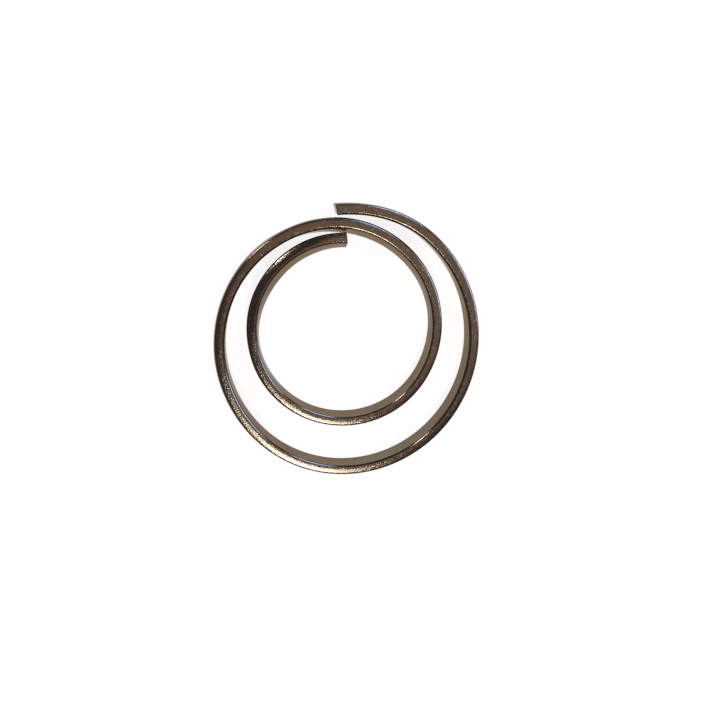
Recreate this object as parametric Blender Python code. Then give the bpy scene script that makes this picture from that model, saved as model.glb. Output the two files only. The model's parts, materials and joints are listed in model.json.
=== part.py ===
"""Split key ring: one spring wire wound clockwise into a flat two-turn spiral, lying on its side.

The wire is modelled as a chain of short stretches. Those at its two free ends are links that turn a few
degrees on one another, which is how the springy wire bends when an end is pried away from its neighbour.
Metres, +Z up, origin at the middle of the underside of the ring's box.
"""

from math import cos, degrees, pi, radians, sin

import bmesh
import bpy
from mathutils import Matrix, Vector

# Wire section: a rectangle with rounded edges
WIRE_WIDTH = 0.00141
WIRE_HEIGHT = 0.0028
EDGE_RADIUS = 0.00031
EDGE_STEPS = 3

# Route of the wire's middle, by sweep in degrees, clockwise from the outer free end
START_ANGLE = 89.4
TOTAL_SWEEP = 726.0
OUTER_RADIUS = 0.0167
OUTER_SHIFT = 0.00165
OUTER_SHIFT_ANGLE = -1.4
OUTER_OVAL = 0.00044
OUTER_OVAL_ANGLE = 95.7
CLOSING_PER_TURN = 0.0002
INNER_RADIUS = 0.01139
INNER_SHIFT = 0.00179
INNER_SHIFT_ANGLE = 47.4
CROSSING_START = 253.0
CROSSING_END = 471.1
OUTER_TIP_DROP = 0.0004
OUTER_TIP_SWEEP = 40.0
INNER_TIP_DROP = -0.00028
INNER_TIP_SWEEP = 60.0

# Where the section leans, its top towards the outside of the ring
LEAN_RISE = 48.0
CROSSING_LEAN = 17.0
CROSSING_LEAN_START = 321.9
CROSSING_LEAN_FADE = 70.5
INNER_LEAN = 22.5
INNER_LEAN_START = 622.4
INNER_LEAN_SWEEP = 61.0
INNER_TIP_LEAN = 18.0
INNER_TIP_LEAN_SWEEP = 25.0

# Middle of the ring's box, from the centre that the route's angles are measured at
BOX_MIDDLE = Vector((0.001736, -0.000202))

# The links of each free end, from the body outwards, and the stretches of the body between them
LINK_SWEEP = 30.0
OUTER_LINKS = (
    "outer_end_link_5",
    "outer_end_link_4",
    "outer_end_link_3",
    "outer_end_link_2",
    "outer_end_link_1",
    "outer_end_tip",
)
INNER_LINKS = (
    "inner_end_link_4",
    "inner_end_link_3",
    "inner_end_link_2",
    "inner_end_link_1",
    "inner_end_tip",
)
BODY_STRETCHES = (
    ("outer_turn_bottom", 240.0),
    ("outer_turn_left", 300.0),
    ("outer_turn_top", 345.0),
    ("crossing", 395.0),
    ("inner_turn_right", 455.0),
    ("inner_turn_bottom_right", 516.0),
    ("inner_turn_bottom_left", 576.0),
)
STRETCH_GAP = 0.0003
RING_STEP = 6.0
OUTER_END_SLANT = radians(22.0)
INNER_END_SLANT = radians(14.0)

PLATING_COLOUR = (0.27, 0.20, 0.13, 1.0)
PLATING_ROUGHNESS = 0.32


def ease(t):
    """0 before 0, 1 after 1, and smooth between."""
    t = min(max(t, 0.0), 1.0)
    return t * t * (3 - 2 * t)


def route_radius(sweep):
    angle = radians(START_ANGLE - sweep)
    outer = (
        OUTER_RADIUS
        + OUTER_SHIFT * cos(angle - radians(OUTER_SHIFT_ANGLE))
        + OUTER_OVAL * cos(2 * (angle - radians(OUTER_OVAL_ANGLE)))
        - CLOSING_PER_TURN * sweep / 360
        - OUTER_TIP_DROP * (1 - ease(sweep / OUTER_TIP_SWEEP))
    )
    inner = (
        INNER_RADIUS
        + INNER_SHIFT * cos(angle - radians(INNER_SHIFT_ANGLE))
        - INNER_TIP_DROP * ease(1 - (TOTAL_SWEEP - sweep) / INNER_TIP_SWEEP)
    )
    share = ease((sweep - CROSSING_START) / (CROSSING_END - CROSSING_START))
    return outer * (1 - share) + inner * share


def lean(sweep):
    """Turn of the section about the wire's own direction, in radians."""
    rise = ease((sweep - CROSSING_LEAN_START) / LEAN_RISE)
    fade = ease((sweep - CROSSING_LEAN_START - LEAN_RISE) / CROSSING_LEAN_FADE)
    inner = ease((sweep - INNER_LEAN_START) / INNER_LEAN_SWEEP)
    tip = ease(1 - (TOTAL_SWEEP - sweep) / INNER_TIP_LEAN_SWEEP)
    inner_lean = INNER_LEAN * inner * (1 - tip) + INNER_TIP_LEAN * tip
    return radians(CROSSING_LEAN * rise * (1 - fade) + inner_lean)


def half_height(turn):
    """Half the height of the section when it leans by this turn."""
    across = WIRE_WIDTH / 2 - EDGE_RADIUS
    up = WIRE_HEIGHT / 2 - EDGE_RADIUS
    return up * cos(turn) + across * sin(turn) + EDGE_RADIUS


def outward(sweep):
    angle = radians(START_ANGLE - sweep)
    return Vector((cos(angle), sin(angle), 0.0))


def route_point(sweep):
    """Middle of the wire at this sweep, resting on the ground."""
    flat = outward(sweep) * route_radius(sweep)
    return Vector((flat.x - BOX_MIDDLE.x, flat.y - BOX_MIDDLE.y, half_height(lean(sweep))))


def section():
    """Points of the rounded rectangle, as (across, up)."""
    points = []
    for corner in range(4):
        across = (WIRE_WIDTH / 2 - EDGE_RADIUS) * (1, -1, -1, 1)[corner]
        up = (WIRE_HEIGHT / 2 - EDGE_RADIUS) * (1, 1, -1, -1)[corner]
        for step in range(EDGE_STEPS + 1):
            turn = (corner + step / EDGE_STEPS) * pi / 2
            points.append((across + EDGE_RADIUS * cos(turn), up + EDGE_RADIUS * sin(turn)))
    return points


def section_ring(bm, sweep, slant, origin):
    """Vertices of the section at this sweep, its plane turned by slant about the vertical."""
    middle = route_point(sweep)
    side = Matrix.Rotation(slant, 3, "Z") @ outward(sweep)
    stretch = 1 / cos(slant)
    turn = lean(sweep)
    ring = []
    for across, up in section():
        out = across * cos(turn) + up * sin(turn)
        rise = up * cos(turn) - across * sin(turn)
        place = middle + side * (out * stretch) + Vector((0.0, 0.0, rise))
        ring.append(bm.verts.new(place - origin))
    return ring


def stretch_mesh(name, start, end, origin):
    """The wire between two sweeps as a closed mesh about origin, kept half a gap short of each cut."""
    slants = [0.0, 0.0]
    if start > 0:
        start += degrees(STRETCH_GAP / 2 / route_radius(start))
    else:
        slants[0] = OUTER_END_SLANT
    if end < TOTAL_SWEEP:
        end -= degrees(STRETCH_GAP / 2 / route_radius(end))
    else:
        slants[1] = INNER_END_SLANT
    bm = bmesh.new()
    count = round((end - start) / RING_STEP)
    rings = []
    for step in range(count + 1):
        slant = slants[0] if step == 0 else slants[1] if step == count else 0.0
        rings.append(section_ring(bm, start + (end - start) * step / count, slant, origin))
    for ring, following in zip(rings, rings[1:]):
        for corner in range(len(ring)):
            other = (corner + 1) % len(ring)
            bm.faces.new((ring[corner], ring[other], following[other], following[corner]))
    bm.faces.new(reversed(rings[0]))
    bm.faces.new(rings[-1])
    bmesh.ops.recalc_face_normals(bm, faces=bm.faces)
    mesh = bpy.data.meshes.new(name)
    bm.to_mesh(mesh)
    bm.free()
    mesh.shade_smooth()
    mesh.set_sharp_from_angle(angle=radians(50))
    return mesh


def plating(name):
    """Antique bronze plating, one material for each stretch."""
    material = bpy.data.materials.new(name + "_plating")
    material.use_nodes = True
    shader = material.node_tree.nodes["Principled BSDF"]
    shader.inputs["Base Color"].default_value = PLATING_COLOUR
    shader.inputs["Metallic"].default_value = 1.0
    shader.inputs["Roughness"].default_value = PLATING_ROUGHNESS
    return material


def add_stretch(name, start, end, origin, parent, parent_origin):
    stretch = bpy.data.objects.new(name, stretch_mesh(name, start, end, origin))
    stretch.data.materials.append(plating(name))
    stretch.parent = parent
    stretch.location = origin - parent_origin
    bpy.context.scene.collection.objects.link(stretch)
    return stretch


def add_chain(names, first_hinge, step, parent):
    """Links from the body to a free end, each with its origin on the hinge that joins it to the one before."""
    parent_origin = Vector()
    for place, name in enumerate(names):
        hinge = first_hinge + step * place
        start, end = sorted((hinge, hinge + step))
        origin = route_point(hinge)
        parent = add_stretch(name, start, end, origin, parent, parent_origin)
        parent_origin = origin


def build():
    for old in list(bpy.data.objects):
        bpy.data.objects.remove(old)
    ring = bpy.data.objects.new("ring", None)
    bpy.context.scene.collection.objects.link(ring)
    start = LINK_SWEEP * len(OUTER_LINKS)
    add_chain(OUTER_LINKS, start, -LINK_SWEEP, ring)
    for name, end in BODY_STRETCHES:
        add_stretch(name, start, end, Vector(), ring, Vector())
        start = end
    add_chain(INNER_LINKS, start, LINK_SWEEP, ring)


build()
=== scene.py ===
"""Split key ring, the looks: one antique bronze wire drawn round the CAD frame, on a pale table.

The wire is made in pieces that lie across the frame's hinges, and pieces for the stretches of the body,
which follow the ring's body.
They meet halfway along each link, and they share the whole wire's normals, so the wire reads as one.
"""

import json
from math import cos, pi, radians, sin, tan

import bpy
import numpy as np
from mathutils import Matrix, Vector


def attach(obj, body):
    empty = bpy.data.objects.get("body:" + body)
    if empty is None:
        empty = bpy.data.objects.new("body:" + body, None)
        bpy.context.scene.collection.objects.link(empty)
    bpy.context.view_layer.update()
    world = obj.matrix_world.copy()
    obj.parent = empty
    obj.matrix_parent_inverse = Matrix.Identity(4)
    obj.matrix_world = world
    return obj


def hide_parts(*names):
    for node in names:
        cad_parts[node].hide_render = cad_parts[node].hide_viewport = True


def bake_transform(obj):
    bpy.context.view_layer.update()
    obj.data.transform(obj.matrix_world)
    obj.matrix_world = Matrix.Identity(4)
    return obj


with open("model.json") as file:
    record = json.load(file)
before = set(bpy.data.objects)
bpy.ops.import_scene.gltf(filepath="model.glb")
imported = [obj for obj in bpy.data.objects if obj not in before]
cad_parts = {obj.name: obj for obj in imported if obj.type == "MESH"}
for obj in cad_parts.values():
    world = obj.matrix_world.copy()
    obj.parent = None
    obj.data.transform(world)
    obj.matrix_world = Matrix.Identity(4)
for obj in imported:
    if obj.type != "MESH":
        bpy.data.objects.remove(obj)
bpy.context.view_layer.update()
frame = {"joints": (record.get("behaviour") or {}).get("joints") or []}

# The wire's section and route, as the CAD part has them: metres, and degrees of sweep from the outer end
WIRE_WIDTH = 0.00141
WIRE_HEIGHT = 0.0028
EDGE_RADIUS = 0.00031
START_ANGLE = 89.4
TOTAL_SWEEP = 726.0
OUTER_RADIUS = 0.0167
OUTER_SHIFT = 0.00165
OUTER_SHIFT_ANGLE = -1.4
OUTER_OVAL = 0.00044
OUTER_OVAL_ANGLE = 95.7
CLOSING_PER_TURN = 0.0002
INNER_RADIUS = 0.01139
INNER_SHIFT = 0.00179
INNER_SHIFT_ANGLE = 47.4
CROSSING_START = 253.0
CROSSING_END = 471.1
OUTER_TIP_DROP = 0.0004
OUTER_TIP_SWEEP = 40.0
INNER_TIP_DROP = -0.00028
INNER_TIP_SWEEP = 60.0
LEAN_RISE = 48.0
CROSSING_LEAN = 17.0
CROSSING_LEAN_START = 321.9
CROSSING_LEAN_FADE = 70.5
INNER_LEAN = 22.5
INNER_LEAN_START = 622.4
INNER_LEAN_SWEEP = 61.0
INNER_TIP_LEAN = 18.0
INNER_TIP_LEAN_SWEEP = 25.0
OUTER_END_SLANT = radians(22.0)
INNER_END_SLANT = radians(14.0)
LINK_SWEEP = 30.0

# Where each stretch of the body ends, from the outer links to the first inner one
BODY_NODES = {
    "outer_turn_bottom": 240.0,
    "outer_turn_left": 300.0,
    "outer_turn_top": 345.0,
    "crossing": 395.0,
    "inner_turn_right": 455.0,
    "inner_turn_bottom_right": 516.0,
    "inner_turn_bottom_left": 561.0,
}

# What only shows close up, in metres: faces that bow out a little, and slanted, rounded cut ends
SKIN = 0.00002  # the CAD's facets cut inside the true curve by up to this, and the wire stays in its box
TOP_CROWN = 0.00005
SIDE_CROWN = 0.00002
CUT_RADIUS = 0.00012
SLANT_REACH = 0.0009

# Steps of the mesh: counts, and degrees of sweep
CUT_STEPS = 5
CORNER_STEPS = 9
TOP_STEPS = 10
SIDE_STEPS = 10
SWEEP_STEP = 1.0
NORMAL_STEP = 0.2

MM = 1000.0


def ease(t):
    """0 before 0, 1 after 1, and smooth between."""
    t = np.clip(t, 0.0, 1.0)
    return t * t * (3 - 2 * t)


def route_radius(sweep):
    angle = np.radians(START_ANGLE - sweep)
    outer = (
        OUTER_RADIUS
        + OUTER_SHIFT * np.cos(angle - radians(OUTER_SHIFT_ANGLE))
        + OUTER_OVAL * np.cos(2 * (angle - radians(OUTER_OVAL_ANGLE)))
        - CLOSING_PER_TURN * sweep / 360
        - OUTER_TIP_DROP * (1 - ease(sweep / OUTER_TIP_SWEEP))
    )
    inner = (
        INNER_RADIUS
        + INNER_SHIFT * np.cos(angle - radians(INNER_SHIFT_ANGLE))
        - INNER_TIP_DROP * ease(1 - (TOTAL_SWEEP - sweep) / INNER_TIP_SWEEP)
    )
    share = ease((sweep - CROSSING_START) / (CROSSING_END - CROSSING_START))
    return outer * (1 - share) + inner * share


def lean(sweep):
    """Turn of the section about the wire's own direction, in radians."""
    rise = ease((sweep - CROSSING_LEAN_START) / LEAN_RISE)
    fade = ease((sweep - CROSSING_LEAN_START - LEAN_RISE) / CROSSING_LEAN_FADE)
    inner = ease((sweep - INNER_LEAN_START) / INNER_LEAN_SWEEP)
    tip = ease(1 - (TOTAL_SWEEP - sweep) / INNER_TIP_LEAN_SWEEP)
    inner_lean = INNER_LEAN * inner * (1 - tip) + INNER_TIP_LEAN * tip
    return np.radians(CROSSING_LEAN * rise * (1 - fade) + inner_lean)


def half_height(turn):
    across = WIRE_WIDTH / 2 - EDGE_RADIUS
    up = WIRE_HEIGHT / 2 - EDGE_RADIUS
    return up * np.cos(turn) + across * np.sin(turn) + EDGE_RADIUS


def plan_point(sweep):
    """Middle of the wire in plan, from the centre that the route's angles are measured at."""
    angle = np.radians(START_ANGLE - sweep)
    return route_radius(sweep)[..., None] * np.stack([np.cos(angle), np.sin(angle)], -1)


def hinge_sweeps():
    """Sweep of each hinge of the frame, by the body that hangs on it."""
    outer = ["outer_end_tip"] + [f"outer_end_link_{n}" for n in range(1, 6)]
    inner = ["inner_end_tip"] + [f"inner_end_link_{n}" for n in range(1, 5)]
    sweeps = {body: LINK_SWEEP * (n + 1) for n, body in enumerate(outer)}
    sweeps.update({body: TOTAL_SWEEP - LINK_SWEEP * (n + 1) for n, body in enumerate(inner)})
    return sweeps


HINGES = hinge_sweeps()
first_joint = frame["joints"][0]
ROUTE_CENTRE = np.array(first_joint["pos_m"][:2]) - plan_point(np.array(HINGES[first_joint["child"]]))


def section(inset=0.0):
    """Points round the section as (across, up), anticlockwise from the start of its upper outer corner."""
    radius = EDGE_RADIUS - inset
    half = np.array([WIRE_WIDTH / 2 - SKIN - SIDE_CROWN, WIRE_HEIGHT / 2 - TOP_CROWN]) - inset
    points = []
    signs = ((1, 1), (-1, 1), (-1, -1), (1, -1))
    for corner in range(4):
        turns = (corner + np.arange(CORNER_STEPS + 1) / CORNER_STEPS) * pi / 2
        arc = (half - radius) * signs[corner] + radius * np.stack([np.cos(turns), np.sin(turns)], -1)
        points.extend(arc)
        direction = np.array([cos(turns[-1]), sin(turns[-1])])
        following = (half - radius) * signs[(corner + 1) % 4] + radius * direction
        steps = TOP_STEPS if corner % 2 == 0 else SIDE_STEPS
        points.extend(arc[-1] + (following - arc[-1]) * n / steps for n in range(1, steps))
    points = np.array(points)
    share = points / half
    return points + share * (1 - share[:, ::-1] ** 2) * (SIDE_CROWN, TOP_CROWN)


def ring_points(sweep, along=0.0, inset=0.0):
    """World points of one section of the wire, pushed along it and inset for the rounding of a cut end."""
    sweep = np.array(float(sweep))
    left = min(sweep, TOTAL_SWEEP - sweep) * radians(1) * route_radius(sweep)
    end_slant = OUTER_END_SLANT if sweep < TOTAL_SWEEP / 2 else INNER_END_SLANT
    slant = end_slant * max(0.0, 1 - left / SLANT_REACH) ** 2
    angle, turn = radians(START_ANGLE - sweep), float(lean(sweep))
    side = np.array([cos(angle + slant), sin(angle + slant), 0.0])
    forward = np.array([sin(angle + slant), -cos(angle + slant), 0.0])
    middle = np.append(plan_point(sweep) + ROUTE_CENTRE, half_height(turn))
    shape = section(inset)
    out = (shape[:, 0] * cos(turn) + shape[:, 1] * sin(turn)) / cos(slant)
    rise = shape[:, 1] * cos(turn) - shape[:, 0] * sin(turn)
    return middle + forward * along + np.outer(out, side) + np.outer(rise, (0.0, 0.0, 1.0))


def piece_rings(start, end):
    """(sweep, distance along, inset) of each ring of a piece, with the rounding at a cut end."""
    count = max(2, round((end - start) / SWEEP_STEP))
    rings = [(sweep, 0.0, 0.0) for sweep in np.linspace(start, end, count + 1)]
    turns = np.arange(CUT_STEPS + 1) / CUT_STEPS * pi / 2
    rounding = [(CUT_RADIUS * sin(t), CUT_RADIUS * (1 - cos(t))) for t in turns]
    reach = CUT_RADIUS / float(route_radius(np.array(start if start == 0 else end))) / radians(1)
    if start == 0:
        rings = [(reach, -along, inset) for along, inset in reversed(rounding)] + rings[1:]
    if end == TOTAL_SWEEP:
        rings = rings[:-1] + [(TOTAL_SWEEP - reach, along, inset) for along, inset in rounding]
    return rings


def ring_normals(rings, points):
    """Normals at each ring, from the shape of the whole wire and not of this piece alone."""
    normals = []
    for index, (sweep, along, inset) in enumerate(rings):
        here = points[index]
        if inset or along:
            before, after = points[max(index - 1, 0)], points[min(index + 1, len(rings) - 1)]
        else:
            before = ring_points(max(sweep - NORMAL_STEP, 0))
            after = ring_points(min(sweep + NORMAL_STEP, TOTAL_SWEEP))
        back, front = here - np.roll(here, 1, axis=0), np.roll(here, -1, axis=0) - here
        back_length, front_length = (np.linalg.norm(v, axis=1)[:, None] for v in (back, front))
        around = back / back_length * front_length + front / front_length * back_length
        normal = np.cross(around, after - before)
        normals.append(normal / np.linalg.norm(normal, axis=1)[:, None])
    return np.array(normals)


def add_wire(name, start, end, material):
    """A closed piece of the wire between two sweeps, which carries its place at rest and on the section."""
    rings = piece_rings(start, end)
    points = np.array([ring_points(*ring) for ring in rings])
    normals = ring_normals(rings, points)
    rows, columns = points.shape[:2]
    faces, corner_normals = [], []
    for row in range(rows - 1):
        for column in range(columns):
            other = (column + 1) % columns
            corners = ((row, column), (row, other), (row + 1, other), (row + 1, column))
            faces.append([r * columns + c for r, c in corners])
            corner_normals.extend(normals[r, c] for r, c in corners)
    for row, outward in ((0, -1), (rows - 1, 1)):
        cap = list(range(row * columns, (row + 1) * columns))
        faces.append(cap[::-1] if outward < 0 else cap)
        neighbour = points[1] if outward < 0 else points[-2]
        away = points[row].mean(axis=0) - neighbour.mean(axis=0)
        corner_normals.extend([away / np.linalg.norm(away)] * columns)
    mesh = bpy.data.meshes.new(name)
    mesh.from_pydata(points.reshape(-1, 3).tolist(), [], faces)
    mesh.validate()
    place = np.tile([(across, up, 0.0) for across, up in section() * MM], (rows, 1))
    for label, values in (("rest_place", points.reshape(-1, 3) * MM), ("wire_place", place)):
        attribute = mesh.attributes.new(label, "FLOAT_VECTOR", "POINT")
        attribute.data.foreach_set("vector", values.astype(np.float32).ravel())
    mesh.shade_smooth()
    mesh.normals_split_custom_set(np.array(corner_normals).tolist())
    piece = bpy.data.objects.new(name, mesh)
    bpy.context.scene.collection.objects.link(piece)
    mesh.materials.append(material)
    return piece


# Plating: linear colours, how fine each pattern is, and the levels of its noise that count as low and high
TONES_PER_MM = 0.35
DARK_BRONZE = (0.200, 0.165, 0.130, 1.0)
LIGHT_BRONZE = (0.250, 0.205, 0.155, 1.0)
STAINS_PER_MM = 2.2
STAIN_LEVELS = (0.45, 0.75)
STAIN_COLOUR = (0.100, 0.070, 0.050, 1.0)
STAIN_SHARE = 0.35
# Painted shade: a dim brown that the side walls are darkened toward, standing in for the darker reflection
# they show
WALL_SHADE_COLOUR = (0.110, 0.088, 0.062, 1.0)
WALL_SHADE_SHARE = 0.3
# Painted glints: sparse light specks on the flats, standing in for the sparkle of the grain
GLINT_SPECKS_PER_MM = 3.2
GLINT_SPECK_LEVELS = (0.70, 0.76)
GLINT_SPECK_COLOUR = (0.480, 0.420, 0.340, 1.0)
GLINT_SPECK_SHARE = 0.8
GRAZING_TINT = (0.64, 0.55, 0.47, 1.0)
WORN_PATCHES_PER_MM = 1.6
ROUGHNESS_RANGE = (0.10, 0.14)
FLAT_ROUGHNESS_EXTRA = 0.02
NOISE_LEVELS = (0.3, 0.7)
NOISE_ROUGHNESS = 0.55

# Grain: strongest on the flats, and its depth in metres
GRAINS_PER_MM = 6.0
FINE_GRAINS_PER_MM = 14.0
FINE_GRAIN_SHARE = 0.25
EDGE_GRAIN_SHARE = 0.1
GRAIN_DEPTH = 0.000014


def wire_material():
    """Antique bronze plating: dark warm metal, finely grained on the flats, smoother on the round edges,
    with painted shade on the side walls and painted glint specks on the flats.
    """
    material = bpy.data.materials.new("antique_bronze")
    material.use_nodes = True
    nodes, links = material.node_tree.nodes, material.node_tree.links
    shader = nodes["Principled BSDF"]

    def add(kind, inputs=(), **values):
        node = nodes.new(kind)
        for key, value in values.items():
            setattr(node, key, value)
        for key, value in dict(inputs).items():
            if hasattr(value, "is_output"):
                links.new(value, node.inputs[key])
            else:
                node.inputs[key].default_value = value
        return node

    def noise(scale, detail, seed):
        rest = add("ShaderNodeAttribute", attribute_name="rest_place")
        moved = add("ShaderNodeVectorMath", {0: rest.outputs["Vector"], 1: (seed, seed, seed)})
        return add(
            "ShaderNodeTexNoise",
            {"Vector": moved.outputs[0], "Scale": scale, "Detail": detail, "Roughness": NOISE_ROUGHNESS},
        ).outputs["Fac"]

    def spread(value, low, high, from_low=NOISE_LEVELS[0], from_high=NOISE_LEVELS[1]):
        return add(
            "ShaderNodeMapRange",
            {"Value": value, "From Min": from_low, "From Max": from_high, "To Min": low, "To Max": high},
        ).outputs["Result"]

    def maths(operation, a, b):
        return add("ShaderNodeMath", {0: a, 1: b}, operation=operation).outputs[0]

    def mix(share, low, high):
        """One colour or the other by share, through the colour sockets of a mix node."""
        node = nodes.new("ShaderNodeMix")
        node.data_type = "RGBA"
        sockets = [node.inputs[0]] + [socket for socket in node.inputs if socket.type == "RGBA"]
        for socket, value in zip(sockets, (share, low, high)):
            if hasattr(value, "is_output"):
                links.new(value, socket)
            else:
                socket.default_value = value
        return next(socket for socket in node.outputs if socket.type == "RGBA")

    # Where a point is on the section: 1 on the side walls or on the flats, and 0 on the rounded edges
    place = add("ShaderNodeAttribute", attribute_name="wire_place")
    parts = add("ShaderNodeSeparateXYZ", {0: place.outputs["Vector"]})
    across = add("ShaderNodeMath", {0: parts.outputs["X"]}, operation="ABSOLUTE").outputs[0]
    up = add("ShaderNodeMath", {0: parts.outputs["Y"]}, operation="ABSOLUTE").outputs[0]
    half_width, half_tall, edge = (v * MM for v in (WIRE_WIDTH / 2, WIRE_HEIGHT / 2, EDGE_RADIUS))
    near_side = spread(across, 0.0, 1.0, half_width - edge, half_width - edge / 3)
    near_face = spread(up, 0.0, 1.0, half_tall - edge, half_tall - edge / 3)
    # Mask of the side walls, where the painted shade is laid
    wall_shade_mask = maths("MULTIPLY", near_side, maths("SUBTRACT", 1.0, near_face))
    on_flat = maths("MULTIPLY", near_face, maths("SUBTRACT", 1.0, near_side))

    tone = spread(noise(TONES_PER_MM, 3.0, 3.0), 0.0, 1.0)
    stain = spread(noise(STAINS_PER_MM, 4.0, 11.0), 0.0, 1.0, *STAIN_LEVELS)
    colour = mix(tone, DARK_BRONZE, LIGHT_BRONZE)
    colour = mix(maths("MULTIPLY", stain, STAIN_SHARE), colour, STAIN_COLOUR)
    # Painted shade: the side walls are darkened toward the dim wall shade colour
    colour = mix(maths("MULTIPLY", wall_shade_mask, WALL_SHADE_SHARE), colour, WALL_SHADE_COLOUR)
    # Painted glints: sparse light specks mixed into the flats' colour
    glint_speck = spread(noise(GLINT_SPECKS_PER_MM, 0.0, 29.0), 0.0, GLINT_SPECK_SHARE, *GLINT_SPECK_LEVELS)
    colour = mix(maths("MULTIPLY", glint_speck, on_flat), colour, GLINT_SPECK_COLOUR)
    links.new(colour, shader.inputs["Base Color"])

    rough = spread(noise(WORN_PATCHES_PER_MM, 3.0, 7.0), *ROUGHNESS_RANGE)
    rough = maths("ADD", rough, maths("MULTIPLY", on_flat, FLAT_ROUGHNESS_EXTRA))
    links.new(rough, shader.inputs["Roughness"])
    shader.inputs["Metallic"].default_value = 1.0
    shader.inputs["Specular Tint"].default_value = GRAZING_TINT

    grain = noise(GRAINS_PER_MM, 2.0, 0.0)
    fine = noise(FINE_GRAINS_PER_MM, 2.0, 19.0)
    height = maths("ADD", grain, maths("MULTIPLY", fine, FINE_GRAIN_SHARE))
    strength = spread(on_flat, EDGE_GRAIN_SHARE, 1.0, 0.0, 1.0)
    bump = add(
        "ShaderNodeBump",
        {"Height": maths("MULTIPLY", height, strength), "Strength": 1.0, "Distance": GRAIN_DEPTH},
    )
    links.new(bump.outputs["Normal"], shader.inputs["Normal"])
    return material


def add_pieces(material):
    """The wire: a piece across each hinge, and a rigid piece for each stretch of the body."""
    for joint in frame["joints"]:
        hinge, child = HINGES[joint["child"]], joint["child"]
        start, end = hinge - LINK_SWEEP / 2, hinge + LINK_SWEEP / 2
        if child == "outer_end_tip":
            start = 0.0
        if child == "inner_end_tip":
            end = TOTAL_SWEEP
        piece = add_wire("wire_" + child, start, end, material)
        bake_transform(piece)
        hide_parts(child)
    start = HINGES["outer_end_link_5"] + LINK_SWEEP / 2
    for node, end in BODY_NODES.items():
        piece = add_wire("wire_" + node, start, end, material)
        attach(piece, "ring_body")
        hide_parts(node)
        start = end


# The stage: a pale floor that glows to white, dim surroundings, and five soft oval lights. Metres, degrees
FLOOR_SIDE = 4.0
FLOOR_DROP = 0.00001
FLOOR_COLOUR = (0.40, 0.40, 0.40, 1.0)
FLOOR_ROUGHNESS = 0.9
FLOOR_GLOW = 0.86
FLOOR_GLOW_COLOUR = (1.0, 0.99, 0.99, 1.0)
HORIZON = (0.130, 0.110, 0.130, 1.0)
HORIZON_HEIGHT = 0.10  # both heights are sines of the elevation
OVERHEAD = (0.120, 0.095, 0.095, 1.0)
OVERHEAD_HEIGHT = 0.50
LIGHT_DISTANCE = 0.45
LIGHTS = {
    # azimuth, elevation, width, height, radiance, colour
    "light_front": (267.5, 58.0, 10.5, 16.0, 15.0, (1.0, 0.97, 0.88)),
    "light_back_left": (135.0, 32.0, 9.0, 14.0, 18.0, (1.0, 0.93, 0.84)),
    "light_right_window": (8.0, 25.0, 34.0, 28.0, 7.5, (0.32, 0.50, 1.0)),
    "light_back_window": (58.0, 25.0, 28.0, 28.0, 6.5, (0.32, 0.50, 1.0)),
    "light_overhead": (28.0, 69.0, 60.0, 60.0, 0.40, (1.0, 0.82, 0.68)),
}


def add_floor():
    mesh = bpy.data.meshes.new("floor")
    half = FLOOR_SIDE / 2
    corners = [(-half, -half), (half, -half), (half, half), (-half, half)]
    mesh.from_pydata([(x, y, -FLOOR_DROP) for x, y in corners], [], [(0, 1, 2, 3)])
    floor = bpy.data.objects.new("floor", mesh)
    bpy.context.scene.collection.objects.link(floor)
    material = bpy.data.materials.new("floor")
    material.use_nodes = True
    shader = material.node_tree.nodes["Principled BSDF"]
    shader.inputs["Base Color"].default_value = FLOOR_COLOUR
    shader.inputs["Roughness"].default_value = FLOOR_ROUGHNESS
    shader.inputs["Emission Color"].default_value = FLOOR_GLOW_COLOUR
    shader.inputs["Emission Strength"].default_value = FLOOR_GLOW
    mesh.materials.append(material)


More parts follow.
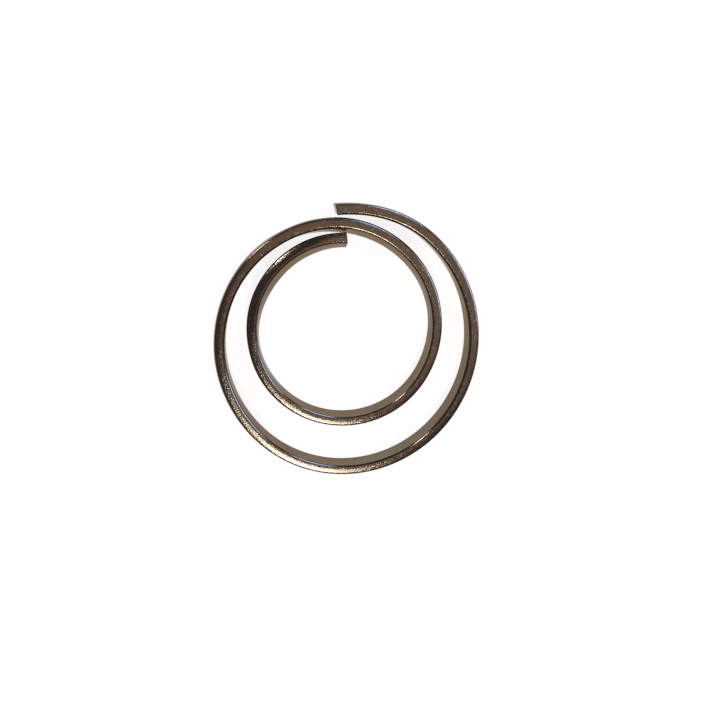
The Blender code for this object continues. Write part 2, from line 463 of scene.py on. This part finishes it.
def add_world():
    world = bpy.data.worlds.new("studio")
    world.use_nodes = True
    nodes, links = world.node_tree.nodes, world.node_tree.links
    place = nodes.new("ShaderNodeTexCoord")
    parts = nodes.new("ShaderNodeSeparateXYZ")
    ramp = nodes.new("ShaderNodeValToRGB")
    links.new(place.outputs["Generated"], parts.inputs[0])
    links.new(parts.outputs["Z"], ramp.inputs[0])
    links.new(ramp.outputs["Color"], nodes["Background"].inputs["Color"])
    low, high = ramp.color_ramp.elements
    low.position, low.color = HORIZON_HEIGHT, HORIZON
    high.position, high.color = OVERHEAD_HEIGHT, OVERHEAD
    bpy.context.scene.world = world


def add_light(name, azimuth, elevation, width, height, radiance, colour):
    """A soft oval light that faces the ring; its width and height are angles as the ring sees them."""
    a, e = radians(azimuth), radians(elevation)
    direction = Vector((cos(a) * cos(e), sin(a) * cos(e), sin(e)))
    data = bpy.data.lights.new(name, "AREA")
    data.shape = "ELLIPSE"
    data.size, data.size_y = (2 * LIGHT_DISTANCE * tan(radians(side / 2)) for side in (width, height))
    area = pi / 4 * data.size * data.size_y
    data.energy = radiance * pi * area
    data.color = colour
    light = bpy.data.objects.new(name, data)
    light.location = direction * LIGHT_DISTANCE
    light.rotation_mode = "QUATERNION"
    light.rotation_quaternion = direction.to_track_quat("Z", "Y")
    light.visible_camera = False
    bpy.context.scene.collection.objects.link(light)


# Camera: its target from the centre of the route and its place from that, in metres, and its lens in mm
CAMERA_TARGET = Vector((0.003352, -0.002676, 0.0))
CAMERA_BACK = Vector((-0.010183, 0.022991, 0.076751))
CAMERA_LENS = 30.73
CAMERA_CLIP = (0.005, 5.0)


def add_camera():
    data = bpy.data.cameras.new("camera")
    data.lens = CAMERA_LENS
    data.clip_start, data.clip_end = CAMERA_CLIP
    camera = bpy.data.objects.new("camera", data)
    target = Vector((*ROUTE_CENTRE, 0.0)) + CAMERA_TARGET
    forward = -CAMERA_BACK.normalized()
    right = forward.cross(Vector((0.0, 1.0, 0.0))).normalized()
    axes = Matrix((right, right.cross(forward), -forward)).transposed()
    camera.matrix_world = Matrix.Translation(target + CAMERA_BACK) @ axes.to_4x4()
    bpy.context.scene.collection.objects.link(camera)
    bpy.context.scene.camera = camera


add_pieces(wire_material())
add_floor()
add_world()
for name, light in LIGHTS.items():
    add_light(name, *light)
add_camera()
bpy.context.scene.view_settings.view_transform = "Standard"
